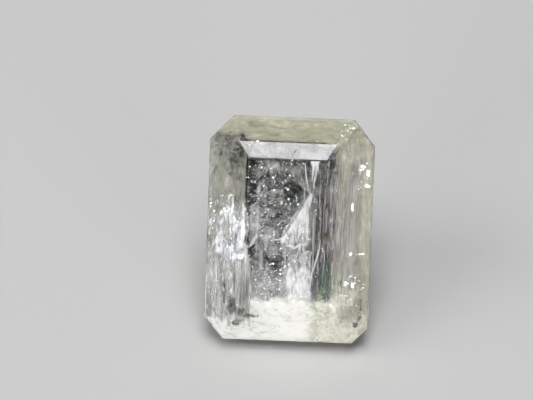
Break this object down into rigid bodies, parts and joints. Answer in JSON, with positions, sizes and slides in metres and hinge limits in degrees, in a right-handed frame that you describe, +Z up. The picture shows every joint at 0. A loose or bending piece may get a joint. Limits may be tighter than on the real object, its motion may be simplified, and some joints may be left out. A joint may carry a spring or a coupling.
{
  "type": "faceted rhodizite",
  "caption": "Loose step-cut gemstone with an eight-sided outline, a flat table and a keeled pavilion, pale and see-through, lying on one lower facet.",
  "frame": {"origin": "middle of the bounding box's base, on the surface that the stone lies on", "axes": "+Z up, -Z square to the lower pavilion facet that the stone lies on; the table leans back 46.5 degrees from level and faces -Y and up; +X is to the right for someone who looks at the table"},
  "size_m": [0.006, 0.0062, 0.0063],
  "materials": {
    "polished_rhodizite": "polished"
  },
  "bodies": {
    "root": {"cut_stone": "polished_rhodizite"}
  },
  "joints": []
}
